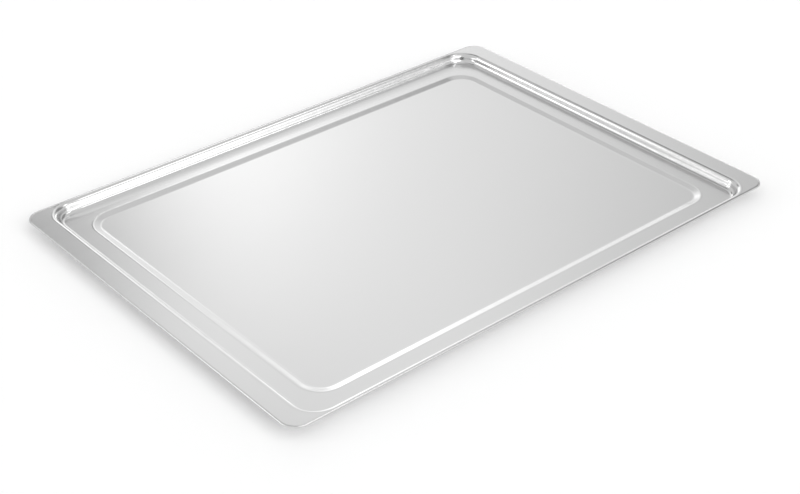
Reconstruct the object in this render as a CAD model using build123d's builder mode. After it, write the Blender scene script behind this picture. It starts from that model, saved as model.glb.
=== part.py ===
from build123d import *
import os
from math import radians, tan

# Cookie sheet: a shallow oven tray pressed from one piece of stainless steel.
# Millimetres, +Z up, X along the long sides. The origin is the middle of the
# underside of the panel, on the surface that the tray stands on.

# Blank
tray_length = 442.0
tray_width = 315.0
sheet = 1.0
blank_corner_radius = 12.5
edge_round = 0.7
edge_deburr = 0.1

# Rim, measured flat from the edge of the blank to where its bend starts
end_rim_flat = 14.7
side_rim_flat = 1.8

# Wall round the tray, measured from the top of the rim to the top of the trough
wall_depth = 7.2
wall_draft = 13.0
mouth_corner_radius = 16.5
rim_bend_radius = 3.0
floor_bend_radius = 3.5

# Flat trough between the wall and the step
trough_width = 12.7

# Step from the trough down to the panel
step_depth = 1.4
step_slope = 17.0
step_corner_radius = 18.5
step_bend_radius = 3.5


def bend_setback(radius, turn):
    """Distance from the start of a bend to the corner where its two faces would meet."""
    return radius * tan(radians(turn / 2))


def run(depth, turn):
    """Horizontal reach of a slope that turns down from level by this angle."""
    return depth / tan(radians(turn))


# Levels of the upper face, from the surface that the tray stands on
panel_top = sheet
trough_top = panel_top + step_depth
rim_top = trough_top + wall_depth

# Insets from the edge of the blank to the sharp corners of the upper face
wall_turn = 90 - wall_draft
mouth_setback = bend_setback(rim_bend_radius + sheet, wall_turn)
end_mouth_inset = end_rim_flat + mouth_setback
side_mouth_inset = side_rim_flat + mouth_setback
wall_run = run(wall_depth, wall_turn)
floor_setback = bend_setback(floor_bend_radius, wall_turn)
step_setback = bend_setback(step_bend_radius + sheet, step_slope)
mouth_to_step = wall_run + floor_setback + trough_width + step_setback

# On the underside each sharp corner lies nearer to the edge of the blank
wall_shift = bend_setback(sheet, wall_turn)
step_shift = bend_setback(sheet, step_slope)


def pocket(level, depth, turn, end_inset, side_inset, corner, mode):
    """A level rounded rectangle at this height, drawn in as it goes down."""
    with BuildSketch(Plane.XY.offset(level)) as outline:
        RectangleRounded(tray_length - 2 * end_inset, tray_width - 2 * side_inset, corner)
    extrude(outline.sketch, amount=-depth, taper=90 - turn, mode=mode)


def flat_at(level):
    """The level face of the tray at this height."""
    flats = baking_sheet.faces().filter_by(Plane.XY)
    return flats.sort_by(lambda face: abs(face.center().Z - level))[0]


def bend_outer(level, radius):
    """Round the edge where the level face at this height ends."""
    fillet(flat_at(level).outer_wire().edges(), radius)


def bend_inner(level, radius):
    """Round the edge of the opening in the level face at this height."""
    fillet(flat_at(level).inner_wires()[0].edges(), radius)


with BuildPart() as baking_sheet:
    # Rim, cut from the blank
    with BuildSketch(Plane.XY.offset(rim_top)) as blank:
        RectangleRounded(tray_length, tray_width, blank_corner_radius)
    extrude(blank.sketch, amount=-sheet)

    # Outside of the pressing: the wall down to the trough, then the step down to the panel
    pocket(
        rim_top - sheet,
        wall_depth,
        wall_turn,
        end_mouth_inset - wall_shift,
        side_mouth_inset - wall_shift,
        mouth_corner_radius + wall_shift,
        Mode.ADD,
    )
    pocket(
        trough_top - sheet,
        step_depth,
        step_slope,
        end_mouth_inset + mouth_to_step - step_shift,
        side_mouth_inset + mouth_to_step - step_shift,
        step_corner_radius + step_shift,
        Mode.ADD,
    )
    bend_inner(rim_top - sheet, rim_bend_radius)
    bend_outer(trough_top - sheet, floor_bend_radius + sheet)
    bend_inner(trough_top - sheet, step_bend_radius)
    bend_outer(0, step_bend_radius + sheet)

    # Inside of the pressing, one thickness of sheet above the outside
    pocket(
        rim_top,
        wall_depth,
        wall_turn,
        end_mouth_inset,
        side_mouth_inset,
        mouth_corner_radius,
        Mode.SUBTRACT,
    )
    pocket(
        trough_top,
        step_depth,
        step_slope,
        end_mouth_inset + mouth_to_step,
        side_mouth_inset + mouth_to_step,
        step_corner_radius,
        Mode.SUBTRACT,
    )
    bend_inner(rim_top, rim_bend_radius + sheet)
    bend_outer(trough_top, floor_bend_radius)
    bend_inner(trough_top, step_bend_radius + sheet)
    bend_outer(panel_top, step_bend_radius)

    # Trimmed edge of the blank: rolled smooth above, deburred below
    bend_outer(rim_top, edge_round)
    bend_outer(rim_top - sheet, edge_deburr)

baking_sheet.part.label = "baking_sheet"

os.makedirs("parts", exist_ok=True)
export_step(baking_sheet.part, "parts/baking_sheet.step")
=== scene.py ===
from math import cos, pi, radians, sin

import bpy
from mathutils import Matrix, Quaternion, Vector


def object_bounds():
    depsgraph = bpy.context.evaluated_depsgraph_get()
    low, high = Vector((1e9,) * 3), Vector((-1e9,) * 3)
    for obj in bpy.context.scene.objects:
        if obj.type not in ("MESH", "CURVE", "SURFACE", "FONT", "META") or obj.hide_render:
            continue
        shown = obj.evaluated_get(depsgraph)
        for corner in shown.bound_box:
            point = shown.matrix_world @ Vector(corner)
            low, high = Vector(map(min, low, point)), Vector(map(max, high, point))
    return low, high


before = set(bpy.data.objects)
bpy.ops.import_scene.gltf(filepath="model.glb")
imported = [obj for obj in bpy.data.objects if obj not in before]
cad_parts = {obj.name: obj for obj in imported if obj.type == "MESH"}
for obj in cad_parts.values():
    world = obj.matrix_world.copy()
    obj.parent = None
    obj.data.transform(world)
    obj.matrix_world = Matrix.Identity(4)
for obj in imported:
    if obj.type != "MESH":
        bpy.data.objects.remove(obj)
cad_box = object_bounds()

MM = 0.001
WHITE = (1, 1, 1, 1)

# Camera at the photograph's viewing angle, in metres and degrees. Azimuths run from +Y towards +X.
# The point that it looks at lies on the level of the rim.
CAMERA_TARGET = Vector((-0.0433, -0.0478, cad_box[1].z))
CAMERA_AZIMUTH = 40.89
CAMERA_ELEVATION = 32.83
CAMERA_ROLL = 0.14
CAMERA_DISTANCE = 1.0505
LENS_MM = 68.5
SENSOR_MM = 36.0

# Floor, just under the tray, and the light of its own that the camera and the metal see on it
FLOOR_SIZE = 8.0
FLOOR_GAP = 0.1 * MM
FLOOR_COLOUR = (0.85, 0.85, 0.85, 1)
FLOOR_LIFT = 0.18

# Studio dome: level of the plain walls, level overhead, and the elevations between which it changes
WALL_LEVEL = 0.81
CEILING_LEVEL = 0.84
CEILING_STARTS = 40
CEILING_ENDS = 65

# Soft boxes and dark flags on the dome, with all angles in degrees: azimuth, elevation, half width,
# half height, how far the edge is softened each way, and the light that it adds or takes.
# They suit the photograph's side. From behind, the panel mirrors the front window as white, and
# from the front and high up it mirrors the overhead flag as dark grey.
SOFT_BOXES = {
    "left window": (-46, 22, 4, 15, 3, 3.1),
    "low left panel": (-73, 3, 13, 11, 2, 2.1),
    "back window": (28, 19, 7, 15, 9, 1.5),
    "low back panel": (57, 1, 12, 12, 12, 1.6),
    "flag at the back window": (20, 31, 10, 2.5, 4.5, -2.4),
    "narrow back window": (43, 32, 6, 12, 7, 0.3),
    "right flag": (90, 35, 30, 14, 7, -0.5),
    "right soft box": (129, 54, 10, 5, 4, 3.2),
    "front window": (-178, 36, 21, 12, 4, 1.9),
    "low front panel": (172, 16, 26, 17, 3, 1.3),
    "front flag": (-166, 3, 29, 10, 7, -1.2),
    "overhead flag": (5, 72, 12, 20, 4, -0.9),
}

# Tray, as in its drawing: corner of the blank, width and corner of the flat of the rim
BLANK_CORNER = 12.5 * MM
END_RIM = 14.7 * MM
SIDE_RIM = 1.8 * MM
RIM_CORNER = 19.7 * MM

# Measured inward from the flat of the rim: the end of the wall with its two bends, and the step
WALL_ENDS = 7.6 * MM
STEP_STARTS = 20.3 * MM
STEP_ENDS = 26.1 * MM
STEP_CORNER = 19.0 * MM

# Forms that are only in the bump, and not in the drawing or the mesh. The trimmed edge is drawn
# down by up to 1 mm over this width, ever more steeply, and the bends have faint waves.
EDGE_ROLL = 1.7 * MM
EDGE_CURVE = 0.35 / MM
BEND_WAVES = 0.1 * MM
BEND_EDGE = 1.0 * MM

# Also only in the bump: along the far long side, the foot of the wall runs out into the trough,
# inward from the flat of the rim. It is up to 1 mm high and fades towards the tray's ends.
RUN_OUT_STARTS = 6.1 * MM
RUN_OUT_ENDS = 16.0 * MM
RUN_OUT_RISE = 1.0 * MM
RUN_OUT_SHAPE = 0.6
RUN_OUT_FADES = 30.0 * MM

# Patterns in the steel: size of the features, stretch along X, and detail
GRAIN = (0.35 * MM, 30.0, 3.0)
STREAKS = (2.5 * MM, 40.0, 4.0)
CLOUDS = (45 * MM, 1.5, 3.0)
WAVES = (11 * MM, 1.0, 1.5)
NOISE_ROUGHNESS = 0.55
CLOUD_DEPTH = 0.05 * MM

# Satin stainless steel: its two tones and least roughness, and what each pattern adds to them
STEEL_DARK = (0.645, 0.645, 0.645, 1)
STEEL_LIGHT = (0.675, 0.675, 0.675, 1)
LEAST_ROUGHNESS = 0.16
TONE_SHARES = {"grain": 0.5, "streaks": 0.3, "clouds": 0.2}
ROUGHNESS_SHARES = {"grain": 0.02, "streaks": 0.03, "clouds": 0.03, "bends": -0.01}


def aim(azimuth, elevation):
    """Unit vector towards this azimuth, from +Y towards +X, and elevation."""
    level = cos(radians(elevation))
    x = sin(radians(azimuth)) * level
    y = cos(radians(azimuth)) * level
    return Vector((x, y, sin(radians(elevation))))


def add_node(tree, kind, inputs=None, **settings):
    """A new shader node with its settings and inputs filled in; an input is a socket or a value."""
    node = tree.nodes.new(kind)
    for name, value in settings.items():
        setattr(node, name, value)
    for name, value in (inputs or {}).items():
        if isinstance(value, bpy.types.NodeSocket):
            tree.links.new(value, node.inputs[name])
        else:
            node.inputs[name].default_value = value
    return node


def math_node(tree, operation, *values):
    """Result of a math node; each value is a socket or a number."""
    return add_node(tree, "ShaderNodeMath", dict(enumerate(values)), operation=operation).outputs[0]


def square(tree, value):
    """The value times itself."""
    return math_node(tree, "POWER", value, 2.0)


def smooth_step(tree, value, low, high, to_low=0.0, to_high=1.0):
    """The value eased from one level to another between two limits."""
    limits = {"Value": value, "From Min": low, "From Max": high, "To Min": to_low, "To Max": to_high}
    return add_node(tree, "ShaderNodeMapRange", limits, interpolation_type="SMOOTHSTEP").outputs[0]


def window(tree, value, middle, half, edge):
    """1 within a half width of the middle, eased to 0 over a soft edge."""
    away = math_node(tree, "ABSOLUTE", math_node(tree, "SUBTRACT", value, middle))
    return smooth_step(tree, away, half + edge, half - edge)


def weigh(tree, sockets, shares, total=0.0):
    """The total with a share of each named socket added."""
    for name, share in shares.items():
        total = math_node(tree, "MULTIPLY_ADD", sockets[name], share, total)
    return total


def soft_box(tree, azimuth, elevation, box):
    """The light of one soft box on the dome."""
    box_azimuth, box_elevation, half_width, half_height, edge, level = box
    turned = math_node(tree, "SUBTRACT", azimuth, radians(box_azimuth))
    turned = math_node(tree, "WRAP", turned, pi, -pi)
    across = window(tree, turned, 0.0, radians(half_width), radians(edge))
    upward = window(tree, elevation, radians(box_elevation), radians(half_height), radians(edge))
    return math_node(tree, "MULTIPLY", math_node(tree, "MULTIPLY", across, upward), level)


def make_studio():
    """A plain studio dome with soft boxes and flags, which is white to the camera."""
    world = bpy.data.worlds.new("studio")
    bpy.context.scene.world = world
    world.use_nodes = True
    tree = world.node_tree
    tree.nodes.clear()

    ray = add_node(tree, "ShaderNodeTexCoord").outputs["Generated"]
    split = add_node(tree, "ShaderNodeSeparateXYZ", {0: ray})
    azimuth = math_node(tree, "ARCTAN2", split.outputs["X"], split.outputs["Y"])
    elevation = math_node(tree, "ARCSINE", split.outputs["Z"])
    low, high = radians(CEILING_STARTS), radians(CEILING_ENDS)
    level = smooth_step(tree, elevation, low, high, WALL_LEVEL, CEILING_LEVEL)
    for box in SOFT_BOXES.values():
        level = math_node(tree, "ADD", level, soft_box(tree, azimuth, elevation, box))
    level = math_node(tree, "MAXIMUM", level, 0.0)

    studio_light = add_node(tree, "ShaderNodeBackground", {"Strength": level, "Color": WHITE})
    white = add_node(tree, "ShaderNodeBackground", {"Strength": 1.0, "Color": WHITE})
    seen = add_node(tree, "ShaderNodeLightPath")
    inputs = {0: seen.outputs["Is Camera Ray"], 1: studio_light.outputs[0], 2: white.outputs[0]}
    pick = add_node(tree, "ShaderNodeMixShader", inputs)
    add_node(tree, "ShaderNodeOutputWorld", {"Surface": pick.outputs[0]})


def make_floor():
    """A white table that keeps the shadow and looks white to the camera and in the metal."""
    bpy.ops.mesh.primitive_plane_add(size=FLOOR_SIZE, location=(0, 0, -FLOOR_GAP))
    floor = bpy.context.object
    floor.name = "floor"
    material = bpy.data.materials.new("white_table")
    material.use_nodes = True
    tree = material.node_tree
    tree.nodes.clear()

    matt = add_node(tree, "ShaderNodeBsdfDiffuse", {"Color": FLOOR_COLOUR})
    seen = add_node(tree, "ShaderNodeLightPath")
    shown = math_node(tree, "MAXIMUM", seen.outputs["Is Camera Ray"], seen.outputs["Is Glossy Ray"])
    shown = math_node(tree, "MAXIMUM", shown, seen.outputs["Is Transmission Ray"])
    strength = math_node(tree, "MULTIPLY", shown, FLOOR_LIFT)
    lift = add_node(tree, "ShaderNodeEmission", {"Strength": strength})
    both = add_node(tree, "ShaderNodeAddShader", {0: matt.outputs[0], 1: lift.outputs[0]})
    add_node(tree, "ShaderNodeOutputMaterial", {"Surface": both.outputs[0]})
    floor.data.materials.append(material)


def inset(tree, position, half_x, half_y, corner):
    """Distance inward from a rounded rectangle round the origin."""
    split = add_node(tree, "ShaderNodeSeparateXYZ", {0: position})
    away_x = math_node(tree, "ABSOLUTE", split.outputs["X"])
    away_y = math_node(tree, "ABSOLUTE", split.outputs["Y"])
    x = math_node(tree, "SUBTRACT", away_x, half_x - corner)
    y = math_node(tree, "SUBTRACT", away_y, half_y - corner)
    over_x = math_node(tree, "MAXIMUM", x, 0.0)
    over_y = math_node(tree, "MAXIMUM", y, 0.0)
    squares = math_node(tree, "ADD", square(tree, over_x), square(tree, over_y))
    outside = math_node(tree, "SQRT", squares)
    inside = math_node(tree, "MINIMUM", math_node(tree, "MAXIMUM", x, y), 0.0)
    return math_node(tree, "SUBTRACT", corner, math_node(tree, "ADD", outside, inside))


def noise(tree, position, pattern):
    """Soft noise from 0 to 1 in this pattern."""
    size, stretch, detail = pattern
    squeeze = Vector((1 / stretch, 1.0, 1.0)) / size
    place = add_node(tree, "ShaderNodeMapping", {"Vector": position, "Scale": squeeze})
    spots = {"Vector": place.outputs[0], "Scale": 1.0, "Detail": detail, "Roughness": NOISE_ROUGHNESS}
    return add_node(tree, "ShaderNodeTexNoise", spots).outputs[0]


def bump(tree, height, depth, normal=None):
    """Relief of this depth from a height; a normal carries the relief under it."""
    inputs = {"Height": height, "Distance": depth, "Strength": 1.0}
    if normal is not None:
        inputs["Normal"] = normal
    return add_node(tree, "ShaderNodeBump", inputs).outputs[0]


def edge_roll(tree, position):
    """Height of the trimmed edge, which is drawn down."""
    from_edge = inset(tree, position, cad_box[1].x, cad_box[1].y, BLANK_CORNER)
    roll = math_node(tree, "MAXIMUM", math_node(tree, "SUBTRACT", EDGE_ROLL, from_edge), 0.0)
    return math_node(tree, "MULTIPLY", square(tree, roll), -EDGE_CURVE)


def wall_run_out(tree, position, rim_x, rim_y):
    """Height of the foot of the wall where it runs out into the trough, along the far long side."""
    place = add_node(tree, "ShaderNodeSeparateXYZ", {0: position})
    from_far_side = math_node(tree, "SUBTRACT", rim_y, place.outputs["Y"])
    from_ends = math_node(tree, "SUBTRACT", rim_x, math_node(tree, "ABSOLUTE", place.outputs["X"]))
    limits = {"Value": from_far_side, "From Min": RUN_OUT_STARTS, "From Max": RUN_OUT_ENDS}
    across = add_node(tree, "ShaderNodeMapRange", limits).outputs[0]
    rise = smooth_step(tree, math_node(tree, "POWER", across, RUN_OUT_SHAPE), 1.0, 0.0)
    fade = smooth_step(tree, from_ends, WALL_ENDS, RUN_OUT_FADES)
    return math_node(tree, "MULTIPLY", math_node(tree, "MULTIPLY", rise, fade), RUN_OUT_RISE)


def press_relief(tree, position):
    """Height of the forms that are only in the bump, and how far each place lies in a bend."""
    rim_x = cad_box[1].x - END_RIM
    rim_y = cad_box[1].y - SIDE_RIM
    from_rim = inset(tree, position, rim_x, rim_y, RIM_CORNER)
    from_step = inset(tree, position, rim_x - STEP_STARTS, rim_y - STEP_STARTS, STEP_CORNER)
    half_wall = WALL_ENDS / 2
    half_step = (STEP_ENDS - STEP_STARTS) / 2
    in_wall = window(tree, from_rim, half_wall, half_wall, BEND_EDGE)
    in_step = window(tree, from_step, half_step, half_step, BEND_EDGE)
    bends = math_node(tree, "ADD", in_wall, in_step)

    waves = math_node(tree, "MULTIPLY", noise(tree, position, WAVES), bends)
    waves = math_node(tree, "MULTIPLY", waves, BEND_WAVES)
    run_out = wall_run_out(tree, position, rim_x, rim_y)
    height = math_node(tree, "ADD", edge_roll(tree, position), run_out)
    return math_node(tree, "ADD", height, waves), bends


def make_steel():
    """Satin rolled stainless steel: fine grain along X, faint clouds, traces of the press."""
    material = bpy.data.materials.new("satin_stainless_steel")
    material.use_nodes = True
    tree = material.node_tree
    steel = tree.nodes["Principled BSDF"]
    steel.inputs["Metallic"].default_value = 1.0

    position = add_node(tree, "ShaderNodeTexCoord").outputs["Object"]
    height, bends = press_relief(tree, position)
    patterns = {
        "grain": noise(tree, position, GRAIN),
        "streaks": noise(tree, position, STREAKS),
        "clouds": noise(tree, position, CLOUDS),
        "bends": bends,
    }

    tone = weigh(tree, patterns, TONE_SHARES)
    colour = add_node(tree, "ShaderNodeMix", {"Factor": tone}, data_type="RGBA")
    colour.inputs["A"].default_value = STEEL_DARK
    colour.inputs["B"].default_value = STEEL_LIGHT
    tree.links.new(colour.outputs["Result"], steel.inputs["Base Color"])

    roughness = weigh(tree, patterns, ROUGHNESS_SHARES, LEAST_ROUGHNESS)
    tree.links.new(roughness, steel.inputs["Roughness"])

    # The height is in metres, so its relief has a depth of 1
    relief = bump(tree, patterns["clouds"], CLOUD_DEPTH)
    relief = bump(tree, height, 1.0, relief)
    tree.links.new(relief, steel.inputs["Normal"])
    return material


def place_camera():
    """The camera at the photograph's viewing angle, rolled a little about its own line of sight."""
    data = bpy.data.cameras.new("camera")
    data.lens = LENS_MM
    data.sensor_width = SENSOR_MM
    camera = bpy.data.objects.new("camera", data)
    bpy.context.scene.collection.objects.link(camera)
    sight = aim(CAMERA_AZIMUTH, -CAMERA_ELEVATION)
    camera.location = CAMERA_TARGET - sight * CAMERA_DISTANCE
    roll = Quaternion((0, 0, 1), radians(CAMERA_ROLL))
    camera.rotation_euler = (sight.to_track_quat("-Z", "Y") @ roll).to_euler()
    bpy.context.scene.camera = camera


make_studio()
make_floor()
place_camera()
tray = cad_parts["baking_sheet"]
tray.data.materials.clear()
tray.data.materials.append(make_steel())

bpy.context.scene.view_settings.view_transform = "Standard"
